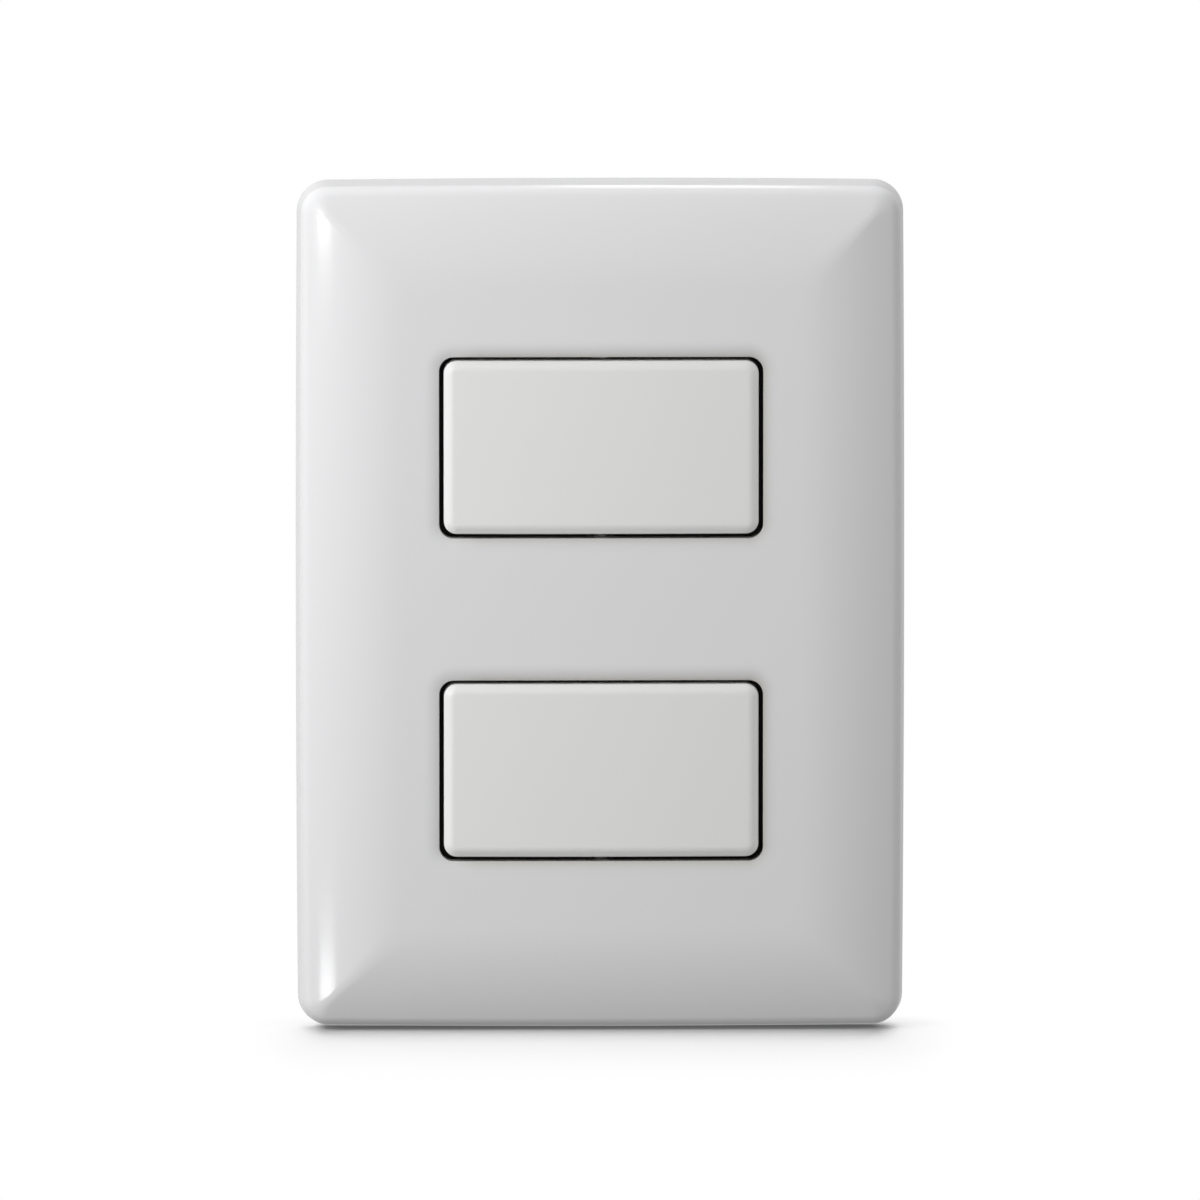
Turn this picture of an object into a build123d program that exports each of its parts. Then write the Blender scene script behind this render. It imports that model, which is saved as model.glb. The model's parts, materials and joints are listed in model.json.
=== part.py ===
from build123d import *
import math
import os

# Double light switch: a clip-on face plate, a support frame that is screwed to a wall box, and two
# rocker modules laid across it. Millimetres. X runs to the right, Z up and Y into the wall; the
# origin is midway between the box screws, on the wall. "Forward" is the distance out of the wall
# into the room, which is -Y, and every depth below is given as a forward distance.

# Face plate
plate_width = 85.0
plate_height = 119.0
plate_depth = 10.0
plate_wall = 2.0
plate_corner = 4.3
plate_draft = 6.0
face_border = 3.45
shoulder_radius = 28.0
edge_round = 2.6
inner_round = 0.6
lip_width = 2.0
lip_drop = 0.6
lip_round = 6.0
lip_edge = 0.35
collar_wall = 1.3
collar_rear = 6.9
rib_reach = 7.0
rib_rear = 2.4
rib_wall = 1.2
end_rib_place = 17.85

# Rockers and the openings they fill
module_pitch = 45.2
rocker_width = 43.8
rocker_height = 24.2
rocker_corner = 1.8
bevel_width = 0.85
bevel_drop = 0.6
bevel_round = 1.4
rocker_front = 10.85
rocker_crown = 0.45
rocker_wall = 1.6
rocker_skin = 2.3
rocker_gap = 0.65
skirt_rear = 6.2
hollow_corner = 0.6
spine_width = 1.4
spine_rear = 4.2
cross_width = 1.2
cross_rear = 6.6
opening_corner = 2.0

# Rocker pivot
rocker_axis = 4.8
trunnion_radius = 1.1
trunnion_clearance = 0.06
trunnion_length = 2.1
ear_width = 6.0
ear_rear = 3.6

# Plunger and spring in the rocker's post
post_radius = 3.2
post_rear = -4.0
bore_radius = 2.1
plunger_clearance = 0.08
plunger_front = -1.0
plunger_tip = 1.1
plunger_cone = 1.1
wire_radius = 0.25
spring_turns = 6
spring_clearance = 0.1
spring_seat = 0.02

# Tilting contact arm
arm_axis = -10.5
arm_throw = 9.5
arm_length = 22.0
arm_width = 5.0
arm_thickness = 0.8
ridge_radius = 0.75
ridge_clearance = 0.05
tip_clearance = 0.12
contact_reach = 9.0
contact_radius = 1.5
contact_dome = 3.0
contact_base = 0.4
contact_clearance = 0.06
rivet_radius = 0.7
rivet_clearance = 0.02
clench = 0.3
clench_clearance = 0.3

# Terminals
brass_thickness = 1.0
tab_width = 10.0
tab_front = -6.2
strap_width = 6.0
strap_tail = 1.5
strap_clearance = 0.15
shelf_margin = 0.1
clamp_gap = 1.8
clamp_size = 8.8
clamp_thickness = 1.2
clamp_corner = 0.8
clamp_clearance = 0.2
terminal_forward = -11.0
terminal_screw_radius = 1.75
terminal_tail = 1.2
terminal_head_radius = 3.4
terminal_head_height = 2.0
terminal_head_round = 0.7
terminal_slot_width = 0.9
terminal_slot_depth = 0.9
thread_clearance = 0.02

# Module housing
housing_width = 42.4
housing_height = 20.0
housing_rear = -22.6
housing_wall = 1.6
housing_corner = 0.6
chamber_width = 25.2
chamber_rear = -21.0
end_height = 14.0
end_front = -4.0
terminal_room = 10.8
panel_edge = 2.5
panel_depth = 0.4
latch_width = 8.0
latch_reach = 0.9
latch_flat = 0.5
latch_length = 3.1
latch_clearance = 0.1

# Bearing frame, the front of a module
bearing_wall = 1.2
bearing_front = 6.4
bearing_margin = 1.0
bearing_corner = 2.0
boss_width = 3.8
boss_gap = 0.35
entry_bite = 0.22
post_swing = 1.2
post_side = 0.6
post_window_corner = 1.5
leg_width = 4.0
leg_thickness = 1.1
leg_place = 9.0
leg_rear = -7.5
leg_gap = 0.05
catch_rear = 1.4
catch_length = 2.8
lug_height = 0.8
lug_flat = 0.5
lug_clearance = 0.15

# Support frame and box screws
support_side = 11.5
support_end = 7.5
support_thickness = 2.0
support_corner = 5.0
rim_front = 4.0
rim_wall = 1.6
window_clearance = 0.4
window_corner = 1.0
hook_place = 30.0
hook_width = 8.0
hook_thickness = 1.5
hook_grip = 1.0
hook_flat = 0.4
hook_clearance = 0.15
notch_room = 0.6
ledge_rear = 2.2
screw_pitch = 83.3
box_screw_radius = 1.75
box_neck_radius = 1.5
box_screw_rear = -22.0
box_tip_chamfer = 0.7
box_head_radius = 3.6
box_head_height = 2.3
box_head_edge = 0.5
box_slot_width = 1.0
box_slot_depth = 1.1
slot_clearance = 0.3
slot_length = 8.0
pocket_depth = 0.9
pocket_web = 1.5
pocket_corner = 1.0
bridge_pockets = 4

# How far a cut runs past the face it opens, how deep a joined form is rooted in its neighbour, and
# how closely an edge is told apart by its place
overrun = 1.0
root = 0.3
edge_window = 0.001

# Sizes that follow from the ones above
support_width = plate_width - 2 * support_side
support_height = plate_height - 2 * support_end
opening_width = rocker_width + 2 * rocker_gap
opening_height = rocker_height + 2 * rocker_gap
bearing_width = rocker_width + 2 * (bearing_margin + bearing_wall)
bearing_height = rocker_height + 2 * (bearing_margin + bearing_wall)
bearing_floor = support_thickness + bearing_wall
ceiling = rocker_front - rocker_crown - rocker_skin
rib_pitch = plate_height / 4
shoulder_width = (plate_width - opening_width) / 2 - lip_width - face_border
saddle_radius = ridge_radius + ridge_clearance + arm_thickness
plunger_rear = arm_axis + saddle_radius + tip_clearance
tab_inner = chamber_width / 2 + housing_wall
clamp_inner = tab_inner + brass_thickness + clamp_gap
clamp_outer = clamp_inner + clamp_thickness
dome_height = contact_dome - math.sqrt(contact_dome**2 - contact_radius**2)
contact_height = contact_base + dome_height
window_width = housing_width + 2 * window_clearance
window_height = housing_height + 2 * (leg_thickness + leg_gap + window_clearance)
module_heights = [module_pitch / 2, -module_pitch / 2]

# Where the arm's contact lies when the arm is tilted right over, which places the fixed contact
throw_sine = math.sin(math.radians(arm_throw))
throw_cosine = math.cos(math.radians(arm_throw))
dome_centre = contact_dome - contact_height
closed_x = -contact_reach * throw_cosine - dome_centre * throw_sine
closed_forward = arm_axis - contact_reach * throw_sine + dome_centre * throw_cosine - contact_dome
shelf_front = closed_forward - contact_clearance - contact_height
shelf_rear = shelf_front - brass_thickness
shelf_tip = contact_radius + shelf_margin - contact_reach

# Sketch planes: across is a section seen from above and upright one seen from the side. In both
# the sketch's own y is the forward distance.
across = Plane(origin=(0, 0, 0), x_dir=(1, 0, 0), z_dir=(0, 0, -1))
upright = Plane(origin=(0, 0, 0), x_dir=(0, 0, 1), z_dir=(1, 0, 0))


def slab(sketch, rear, front):
    """Extrude a sketch seen from the front between two forward distances."""
    return extrude(Plane.XZ.offset(rear) * sketch, front - rear)


def block(x_range, z_range, rear, front):
    """Straight block between two x values, two z values and two forward distances."""
    width = x_range[1] - x_range[0]
    height = z_range[1] - z_range[0]
    middle = Pos(sum(x_range) / 2, sum(z_range) / 2)
    return slab(middle * Rectangle(width, height), rear, front)


def rod(radius, rear, front, x=0, z=0):
    """Round bar along the depth."""
    return slab(Pos(x, z) * Circle(radius), rear, front)


def crossbar(radius, start, end, forward, z=0):
    """Round bar along X between two x values."""
    return extrude(upright.offset(start) * Pos(z, forward) * Circle(radius), end - start)


def turned(profile):
    """Revolve half a section, drawn as across and forward, about the depth axis."""
    return revolve(across * profile, Axis((0, 0, 0), (0, -1, 0)))


def four_ways(solid):
    """A solid in the upper right quarter, repeated in all four quarters."""
    right = solid + mirror(solid, about=Plane.XY)
    return right + mirror(right, about=Plane.YZ)


def pillow_section(half, depth, shoulder, radius, edge):
    """Half of the plate's section: flat face, shoulder arc, rounded edge and drafted wall."""
    slope = math.tan(math.radians(plate_draft))
    flat = half - shoulder
    centre = depth - radius
    squared = 1 + slope**2
    halved = shoulder * slope + centre
    constant = shoulder**2 + centre**2 - radius**2
    top = (halved + math.sqrt(halved**2 - squared * constant)) / squared
    corner = (half - slope * top, top)
    middle = (math.atan2(top - centre, corner[0] - flat) + math.pi / 2) / 2
    arc_point = (flat + radius * math.cos(middle), centre + radius * math.sin(middle))
    outline = [
        Line((0, 0), (half, 0)),
        Line((half, 0), corner),
        ThreePointArc(corner, arc_point, (flat, depth)),
        Line((flat, depth), (0, depth)),
        Line((0, depth), (0, 0)),
    ]
    section = make_face(outline)
    return fillet(section.vertices().sort_by_distance((corner[0], corner[1], 0))[0], edge)


def pillow(width, height, depth, corner, shoulder, radius, edge):
    """Cushion shape whose shoulders meet in mitres that start inside the rounded corners."""
    side = pillow_section(width / 2, depth, shoulder, radius, edge)
    end = pillow_section(height / 2, depth, shoulder, radius, edge)
    side_full = side + mirror(side, about=Plane.YZ)
    end_full = end + mirror(end, about=Plane.YZ)
    body = extrude(across * side_full, height, both=True)
    body = body & extrude(upright * end_full, width, both=True)
    corner_x = width / 2 - corner
    corner_z = height / 2 - corner
    outer = side & Pos(corner_x + corner, depth / 2) * Rectangle(2 * corner, 2 * depth)
    quarter = revolve(across * Pos(-corner_x, 0) * outer, Axis((0, 0, 0), (0, -1, 0)), 90)
    square = block((corner_x, width), (corner_z, height), -depth, 2 * depth)
    return body - four_ways(square) + four_ways(Pos(corner_x, 0, corner_z) * quarter)


def hook():
    """One of the face plate's four clip hooks, at the upper right."""
    inner = support_width / 2 + hook_clearance
    outer = inner + hook_thickness
    barb_front = ledge_rear - hook_clearance
    barb_tip = inner - hook_grip
    barb_rear = barb_front - hook_flat - hook_grip
    head = plate_depth - plate_wall / 2
    profile = Polyline(
        (inner, head),
        (inner, barb_front),
        (barb_tip, barb_front),
        (barb_tip, barb_front - hook_flat),
        (inner, barb_rear),
        (outer, barb_rear),
        (outer, head),
        close=True,
    )
    return Pos(0, 0, hook_place) * extrude(across * make_face(profile), hook_width / 2, both=True)


def rolled_lips(shell):
    """Roll the plate's face softly down to each opening, with a small round at the gap itself."""
    front = shell.faces().filter_by(GeomType.PLANE).sort_by(Axis.Y)[0]
    edges = [edge for wire in front.inner_wires() for edge in wire.edges()]
    shell = chamfer(edges, lip_width, lip_drop, reference=front)
    rear = lip_drop - plate_depth
    edges = shell.edges().filter_by_position(Axis.Y, rear - edge_window, rear + edge_window)
    shell = fillet(edges, lip_edge)
    front = shell.faces().filter_by(GeomType.PLANE).sort_by(Axis.Y)[0]
    edges = [edge for wire in front.inner_wires() for edge in wire.edges()]
    return fillet(edges, lip_round)


def face_plate():
    """Hollow cushion-shaped plate with two collared openings and four clip hooks."""
    outer = pillow(
        plate_width, plate_height, plate_depth, plate_corner, shoulder_width, shoulder_radius, edge_round
    )
    cavity = pillow(
        plate_width - 2 * plate_wall,
        plate_height - 2 * plate_wall,
        plate_depth - plate_wall,
        plate_corner - plate_wall,
        shoulder_width - plate_wall,
        shoulder_radius - plate_wall,
        inner_round,
    )
    shell = outer - cavity
    collar = RectangleRounded(
        opening_width + 2 * collar_wall, opening_height + 2 * collar_wall, opening_corner + collar_wall
    )
    opening = RectangleRounded(opening_width, opening_height, opening_corner)
    for z in module_heights:
        shell += slab(Pos(0, z) * collar, collar_rear, plate_depth - plate_wall / 2)
    for z in module_heights:
        shell -= slab(Pos(0, z) * opening, collar_rear - overrun, plate_depth + overrun)
    shell = rolled_lips(shell)
    side = plate_width / 2
    end = plate_height / 2
    ribs = hook()
    for middle in (rib_pitch / 2, rib_pitch * 3 / 2):
        span = (middle - rib_wall / 2, middle + rib_wall / 2)
        ribs += block((side - rib_reach, side), span, rib_rear, plate_depth)
    span = (end_rib_place - rib_wall / 2, end_rib_place + rib_wall / 2)
    ribs += block(span, (end - rib_reach, end), rib_rear, plate_depth)
    return shell + (four_ways(ribs) & outer)


def support_frame():
    """Moulded frame with a window for each module, ledges for the hooks and two screw slots."""
    outline = RectangleRounded(support_width, support_height, support_corner)
    inner_width = support_width - 2 * rim_wall
    inner_height = support_height - 2 * rim_wall
    inside = RectangleRounded(inner_width, inner_height, support_corner - rim_wall)
    frame = slab(outline, 0, rim_front) - slab(inside, support_thickness, rim_front + overrun)
    for z in module_heights:
        window = Pos(0, z) * RectangleRounded(window_width, window_height, window_corner)
        frame -= slab(window, -overrun, support_thickness + overrun)
    slot = SlotOverall(slot_length, 2 * (box_screw_radius + slot_clearance))
    for z in (screw_pitch / 2, -screw_pitch / 2):
        frame -= slab(Pos(0, z) * slot, -overrun, support_thickness + overrun)
    half = hook_width / 2 + notch_room
    notch = block(
        (support_width / 2 - hook_grip - notch_room, support_width),
        (hook_place - half, hook_place + half),
        -overrun,
        ledge_rear,
    )
    frame -= four_ways(notch)
    bridge = (module_pitch - bearing_height) / 2 - pocket_web / 2
    rib_front = (support_thickness + rim_front) / 2
    pitch = (inner_width - pocket_web) / bridge_pockets
    pocket = RectangleRounded(pitch - pocket_web, 2 * (bridge - pocket_web), pocket_corner)
    for place in GridLocations(pitch, pitch, bridge_pockets, 1):
        frame -= slab(place * pocket, -overrun, pocket_depth)
    rib = Rectangle(rib_wall, 2 * bridge)
    for place in GridLocations(pitch, pitch, bridge_pockets - 1, 1):
        frame += slab(place * rib, support_thickness / 2, rib_front)
    low = (module_pitch + window_height) / 2 + pocket_web
    high = inner_height / 2 - pocket_web
    start = slot_length / 2 + 2 * pocket_web
    end = inner_width / 2 - pocket_web
    end_pocket = RectangleRounded(end - start, high - low, pocket_corner)
    end_pocket = Pos((start + end) / 2, (low + high) / 2) * end_pocket
    return frame - four_ways(slab(end_pocket, -overrun, pocket_depth))


def box_screws():
    """The two slotted truss-head screws that hold the support frame to the wall box."""
    seat = support_thickness
    edge = seat + box_head_edge
    front = seat + box_head_height
    head = make_face(
        [
            Line((0, seat), (box_head_radius, seat)),
            Line((box_head_radius, seat), (box_head_radius, edge)),
            TangentArc((0, front), (box_head_radius, edge), tangent=(1, 0)),
            Line((0, front), (0, seat)),
        ]
    )
    screw = rod(box_screw_radius, box_screw_rear, 0) + rod(box_neck_radius, -root, seat) + turned(head)
    screw = chamfer(screw.faces().sort_by(Axis.Y)[-1].edges(), box_tip_chamfer)
    half = box_slot_width / 2
    reach = box_head_radius + overrun
    screw -= block((-reach, reach), (-half, half), front - box_slot_depth, front + overrun)
    high = Pos(0, 0, screw_pitch / 2) * screw
    return Compound(children=[high, mirror(high, about=Plane.XY)])


def rocker():
    """Crowned rocker with bevelled edges, a hollow back, side trunnions and a spring post."""
    crown_radius = ((rocker_width / 2) ** 2 + rocker_crown**2) / (2 * rocker_crown)
    outline = RectangleRounded(rocker_width, rocker_height, rocker_corner)
    body = slab(outline, skirt_rear, rocker_front + overrun)
    crown = Pos(0, rocker_front - crown_radius) * Circle(crown_radius)
    crown = crown & Rectangle(rocker_width + 2 * overrun, 3 * rocker_front)
    body = body & extrude(across * crown, rocker_height, both=True)
    face = body.faces().sort_by(Axis.Y)[0]
    body = chamfer(face.outer_wire().edges(), bevel_width, bevel_drop, reference=face)
    face = body.faces().sort_by(Axis.Y)[0]
    body = fillet(face.outer_wire().edges(), bevel_round)
    side = rocker_width / 2 - rocker_wall
    end = rocker_height / 2 - rocker_wall
    body -= slab(RectangleRounded(2 * side, 2 * end, hollow_corner), skirt_rear - overrun, ceiling)
    ear = block((-ear_width / 2, ear_width / 2), (end, end + rocker_wall), ear_rear, skirt_rear + root)
    trunnion = Pos(0, -rocker_axis, end + root) * Cylinder(
        trunnion_radius, rocker_wall - root + trunnion_length, align=(Align.CENTER, Align.CENTER, Align.MIN)
    )
    pivot = ear + trunnion
    body += pivot + mirror(pivot, about=Plane.XY)
    spine = (-spine_width / 2, spine_width / 2)
    cross = (-cross_width / 2, cross_width / 2)
    body += block(spine, (-end - root, end + root), spine_rear, ceiling + root)
    body += block((-side - root, side + root), cross, cross_rear, ceiling + root)
    body += rod(post_radius, post_rear, ceiling + root)
    return body - rod(bore_radius, post_rear - overrun, ceiling)


def plunger():
    """Nylon plunger in the rocker's post, with a round tip that rides on the contact arm."""
    radius = bore_radius - plunger_clearance
    tip_top = plunger_rear + plunger_tip
    neck = tip_top + plunger_cone
    profile = [
        Line((0, plunger_front), (radius, plunger_front)),
        Line((radius, plunger_front), (radius, neck)),
        Line((radius, neck), (plunger_tip, tip_top)),
        TangentArc((0, plunger_rear), (plunger_tip, tip_top), tangent=(1, 0)),
        Line((0, plunger_rear), (0, plunger_front)),
    ]
    return turned(make_face(profile))


def spring():
    """Coil spring between the top of the post's bore and the plunger."""
    radius = bore_radius - plunger_clearance - spring_clearance - wire_radius
    seat = wire_radius + spring_seat
    length = ceiling - plunger_front - 2 * seat
    path = Helix(length / spring_turns, length, radius)
    start = Plane(origin=path @ 0, z_dir=path % 0)
    coil = sweep(start * RegularPolygon(wire_radius, 6), path=path)
    return Pos(0, -plunger_front - seat, 0) * Rotation(90, 0, 0) * coil


def bearing_frame():
    """Front of a module: a tray with bearings for the trunnions and legs that clip to the housing."""
    outline = RectangleRounded(bearing_width, bearing_height, bearing_corner)
    inside = RectangleRounded(
        bearing_width - 2 * bearing_wall, bearing_height - 2 * bearing_wall, bearing_corner - bearing_wall
    )
    frame = slab(outline, support_thickness, bearing_front)
    frame -= slab(inside, bearing_floor, bearing_front + overrun)
    boss_span = (rocker_height / 2 + boss_gap, bearing_height / 2 - bearing_wall / 2)
    boss = block((-boss_width / 2, boss_width / 2), boss_span, bearing_floor - root, bearing_front)
    frame += boss + mirror(boss, about=Plane.XY)
    hole = Cylinder(trunnion_radius + trunnion_clearance, bearing_height + 2 * overrun)
    entry_half = trunnion_radius - entry_bite
    entry = block(
        (-entry_half, entry_half), (-bearing_height, bearing_height), rocker_axis, bearing_front + overrun
    )
    frame -= Pos(0, -rocker_axis, 0) * hole + entry
    window = RectangleRounded(
        2 * (post_radius + post_swing), 2 * (post_radius + post_side), post_window_corner
    )
    frame -= slab(window, support_thickness - overrun, bearing_floor + overrun)
    inner = housing_height / 2 + leg_gap
    outer = inner + leg_thickness
    span = (leg_place - leg_width / 2, leg_place + leg_width / 2)
    leg = block(span, (inner, outer), leg_rear, support_thickness + root)
    catch_span = (leg_place - leg_width / 4, leg_place + leg_width / 4)
    catch_start = leg_rear + catch_rear
    leg -= block(catch_span, (inner - overrun, outer + overrun), catch_start, catch_start + catch_length)
    return frame + four_ways(leg)


def lug():
    """One of the housing's four catches for the bearing frame's legs, at the upper right."""
    rear = leg_rear + catch_rear + lug_clearance
    front = leg_rear + catch_rear + catch_length - lug_clearance
    base = housing_height / 2 - root
    tip = housing_height / 2 + lug_height
    profile = Polyline((base, front), (tip, front), (tip, front - lug_flat), (base, rear), close=True)
    half = leg_width / 4 - lug_clearance
    return Pos(leg_place, 0, 0) * extrude(upright * make_face(profile), half, both=True)


def latch():
    """The housing's right-hand latch, which hooks behind the edge of the support frame's window."""
    base = housing_width / 2 - root
    tip = window_width / 2 + latch_reach
    front = -latch_clearance
    profile = Polyline(
        (base, front), (tip, front), (tip, front - latch_flat), (base, front - latch_length), close=True
    )
    return extrude(across * make_face(profile), latch_width / 2, both=True)


def housing():
    """Rear of a module: a stepped box with a contact chamber and an open terminal room at each end."""
    half = housing_width / 2
    middle = chamber_width / 2 + housing_wall
    room_front = end_front - housing_wall
    body = slab(Rectangle(housing_width, housing_height), room_front, support_thickness)
    body += slab(Rectangle(2 * middle, housing_height), housing_rear, end_front)
    body += slab(Rectangle(housing_width, end_height), housing_rear, end_front)
    body = fillet(body.edges().filter_by(Axis.Y), housing_corner)
    inner = housing_height / 2 - housing_wall
    body -= slab(Rectangle(chamber_width, 2 * inner), chamber_rear, support_thickness + overrun)
    pocket = block((middle, half - housing_wall), (-inner, inner), end_front, support_thickness + overrun)
    room_half = terminal_room / 2
    room = block((middle, half + overrun), (-room_half, room_half), housing_rear - overrun, room_front)
    body -= pocket + mirror(pocket, about=Plane.YZ)
    body -= room + mirror(room, about=Plane.YZ)
    wall = (chamber_width / 2 - overrun, middle + overrun)
    strap = strap_width / 2
    notch = (-strap - strap_clearance, strap + strap_clearance)
    body -= block(wall, notch, chamber_rear, room_front)
    body -= mirror(block(wall, notch, shelf_rear, room_front), about=Plane.YZ)
    body += block((-chamber_width / 2 - root, shelf_tip), (-strap, strap), chamber_rear - root, shelf_rear)
    clench_radius = rivet_radius + clench + clench_clearance
    body -= rod(clench_radius, shelf_rear - clench - clench_clearance, shelf_rear + root, x=closed_x)
    panel = RectangleRounded(chamber_width - 2 * panel_edge, housing_height - 2 * panel_edge, pocket_corner)
    body -= slab(panel, housing_rear - overrun, housing_rear + panel_depth)
    return body + four_ways(lug()) + latch() + mirror(latch(), about=Plane.YZ)


def contact_arm():
    """Brass see-saw that sits over the common terminal's rounded ridge."""
    bar = Pos(0, arm_axis + arm_thickness / 2) * Rectangle(arm_length, arm_thickness)
    saddle = Pos(0, arm_axis) * Circle(saddle_radius)
    profile = bar + saddle - Pos(0, arm_axis) * Circle(ridge_radius + ridge_clearance)
    profile -= Pos(0, arm_axis - saddle_radius) * Rectangle(arm_length, 2 * saddle_radius)
    arm = extrude(across * profile, arm_width / 2, both=True)
    hole_front = arm_axis + arm_thickness + overrun
    return arm - rod(rivet_radius + rivet_clearance, arm_axis - overrun, hole_front, x=-contact_reach)


def rivet(grip):
    """Contact rivet with its dome to the rear, seated at forward 0 and clenched in front."""
    front = grip + clench
    clench_radius = rivet_radius + clench
    profile = [
        Line((0, -contact_height), (0, front)),
        Line((0, front), (clench_radius, front)),
        Line((clench_radius, front), (clench_radius, grip)),
        Line((clench_radius, grip), (rivet_radius, grip)),
        Line((rivet_radius, grip), (rivet_radius, 0)),
        Line((rivet_radius, 0), (contact_radius, 0)),
        Line((contact_radius, 0), (contact_radius, -contact_base)),
        TangentArc((0, -contact_height), (contact_radius, -contact_base), tangent=(1, 0)),
    ]
    return turned(make_face(profile))


def arm_contact():
    """Contact rivet in the left end of the arm."""
    return Pos(-contact_reach, -arm_axis, 0) * rivet(arm_thickness)


def fixed_contact():
    """Contact rivet in the fixed terminal's shelf, facing the arm's contact."""
    return Pos(closed_x, -shelf_front, 0) * mirror(rivet(brass_thickness), about=Plane.XZ)


def terminal_tab():
    """Upright tab of a terminal at the right, with its threaded hole."""
    outer = tab_inner + brass_thickness
    half = tab_width / 2
    tab = block((tab_inner, outer), (-half, half), chamber_rear + brass_thickness / 2, tab_front)
    hole_radius = terminal_screw_radius + thread_clearance
    return tab - crossbar(hole_radius, tab_inner - overrun, outer + overrun, terminal_forward)


def common_terminal():
    """Right-hand terminal: tab, floor strap and the rounded ridge that carries the arm."""
    half = strap_width / 2
    outer = tab_inner + brass_thickness
    strap = block((-strap_tail, outer), (-half, half), chamber_rear, chamber_rear + brass_thickness)
    height = arm_axis - chamber_rear
    post = Pos(0, chamber_rear + height / 2) * Rectangle(2 * ridge_radius, height)
    post += Pos(0, arm_axis) * Circle(ridge_radius)
    return strap + terminal_tab() + extrude(across * post, half, both=True)


def fixed_terminal():
    """Left-hand terminal: tab and the shelf that carries the fixed contact."""
    half = strap_width / 2
    shelf = block((-tab_inner - brass_thickness, shelf_tip), (-half, half), shelf_rear, shelf_front)
    hole_radius = rivet_radius + rivet_clearance
    hole = rod(hole_radius, shelf_rear - overrun, shelf_front + overrun, x=closed_x)
    return shelf + mirror(terminal_tab(), about=Plane.YZ) - hole


def wire_clamps():
    """Square clamp plates that press the wires onto the tabs, one under each terminal screw."""
    half = clamp_size / 2
    rear = terminal_forward - half
    plate = block((clamp_inner, clamp_outer), (-half, half), rear, rear + clamp_size)
    plate = chamfer(plate.edges().filter_by(Axis.X), clamp_corner)
    hole_radius = terminal_screw_radius + clamp_clearance
    plate -= crossbar(hole_radius, clamp_inner - overrun, clamp_outer + overrun, terminal_forward)
    return Compound(children=[plate, mirror(plate, about=Plane.YZ)])


def terminal_screws():
    """Slotted binding-head screws that draw the clamp plates down."""
    head_outer = clamp_outer + terminal_head_height
    head = crossbar(terminal_head_radius, clamp_outer, head_outer, terminal_forward)
    head = fillet(head.faces().sort_by(Axis.X)[-1].edges(), terminal_head_round)
    shank = crossbar(terminal_screw_radius, tab_inner - terminal_tail, clamp_outer, terminal_forward)
    half = terminal_slot_width / 2
    reach = terminal_head_radius + overrun
    slot = block(
        (head_outer - terminal_slot_depth, head_outer + overrun),
        (-reach, reach),
        terminal_forward - half,
        terminal_forward + half,
    )
    screw = head + shank - slot
    return Compound(children=[screw, mirror(screw, about=Plane.YZ)])


module_pieces = {
    "rocker": rocker(),
    "plunger": plunger(),
    "spring": spring(),
    "bearing_frame": bearing_frame(),
    "housing": housing(),
    "contact_arm": contact_arm(),
    "arm_contact": arm_contact(),
    "fixed_contact": fixed_contact(),
    "common_terminal": common_terminal(),
    "fixed_terminal": fixed_terminal(),
    "wire_clamps": wire_clamps(),
    "terminal_screws": terminal_screws(),
}

os.makedirs("parts", exist_ok=True)
export_step(face_plate(), "parts/face_plate.step")
export_step(support_frame(), "parts/support_frame.step")
export_step(box_screws(), "parts/box_screws.step")
for place, z in zip(("upper", "lower"), module_heights):
    for name, piece in module_pieces.items():
        export_step(Pos(0, 0, z) * piece, f"parts/{place}_{name}.step")
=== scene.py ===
import bmesh
import bpy
import json
import math
from mathutils import Matrix, Vector


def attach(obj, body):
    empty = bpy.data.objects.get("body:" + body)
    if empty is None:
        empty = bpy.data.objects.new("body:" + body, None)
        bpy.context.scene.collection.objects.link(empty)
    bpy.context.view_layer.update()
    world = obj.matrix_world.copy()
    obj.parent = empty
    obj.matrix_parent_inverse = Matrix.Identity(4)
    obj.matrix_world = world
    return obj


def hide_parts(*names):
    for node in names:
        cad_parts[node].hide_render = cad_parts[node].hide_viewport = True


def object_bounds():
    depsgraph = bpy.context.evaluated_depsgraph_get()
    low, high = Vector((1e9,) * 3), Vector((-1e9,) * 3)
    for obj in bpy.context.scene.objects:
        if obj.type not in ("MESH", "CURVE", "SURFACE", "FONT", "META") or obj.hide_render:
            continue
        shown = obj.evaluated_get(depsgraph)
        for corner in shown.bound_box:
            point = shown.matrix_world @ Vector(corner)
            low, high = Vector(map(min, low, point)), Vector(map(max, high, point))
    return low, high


# Double light switch: cushion-shaped plate, two rockers, and the works behind them.
# Piece sizes are millimetres, brought to metres as each mesh is finished.
# Forward is out of the wall.

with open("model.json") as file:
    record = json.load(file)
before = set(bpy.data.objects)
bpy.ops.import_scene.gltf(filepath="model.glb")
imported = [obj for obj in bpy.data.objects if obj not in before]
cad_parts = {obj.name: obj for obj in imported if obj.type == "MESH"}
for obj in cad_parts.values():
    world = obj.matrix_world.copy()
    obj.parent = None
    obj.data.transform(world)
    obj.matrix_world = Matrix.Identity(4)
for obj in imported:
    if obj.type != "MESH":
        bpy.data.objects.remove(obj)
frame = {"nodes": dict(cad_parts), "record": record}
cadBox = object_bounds()
print("frame loaded:", len(frame["nodes"]), "nodes")

millimetre = 0.001
places = {"upper": 22.6, "lower": -22.6}  # module heights


# Shared surface effects

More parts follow.
